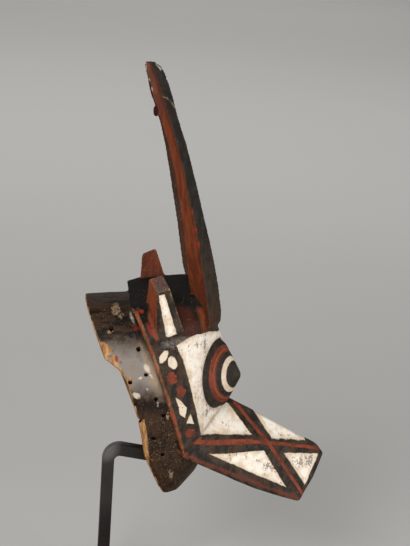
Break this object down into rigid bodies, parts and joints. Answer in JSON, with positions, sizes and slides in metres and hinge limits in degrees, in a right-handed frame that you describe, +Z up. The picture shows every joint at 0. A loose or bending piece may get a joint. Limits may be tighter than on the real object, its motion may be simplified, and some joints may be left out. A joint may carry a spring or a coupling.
{
  "type": "buffalo mask",
  "caption": "Carved and painted wooden buffalo helmet mask with tall curved horns, cone eyes and a wedge muzzle, held up on a bent square bar with a flat foot.",
  "frame": {"origin": "middle of the underside of the stand's foot plate", "axes": "+Z up, -Y the way the buffalo's face looks, +X to the mask's left side"},
  "size_m": [0.25, 0.415, 0.866],
  "materials": {
    "painted_wood": "worn matt black, red-brown and white earth paint on carved wood",
    "stand_steel": "satin dark brown-black paint"
  },
  "bodies": {
    "root": {"mask": "painted_wood", "stand_rod": "stand_steel", "stand_foot": "stand_steel"}
  },
  "joints": []
}
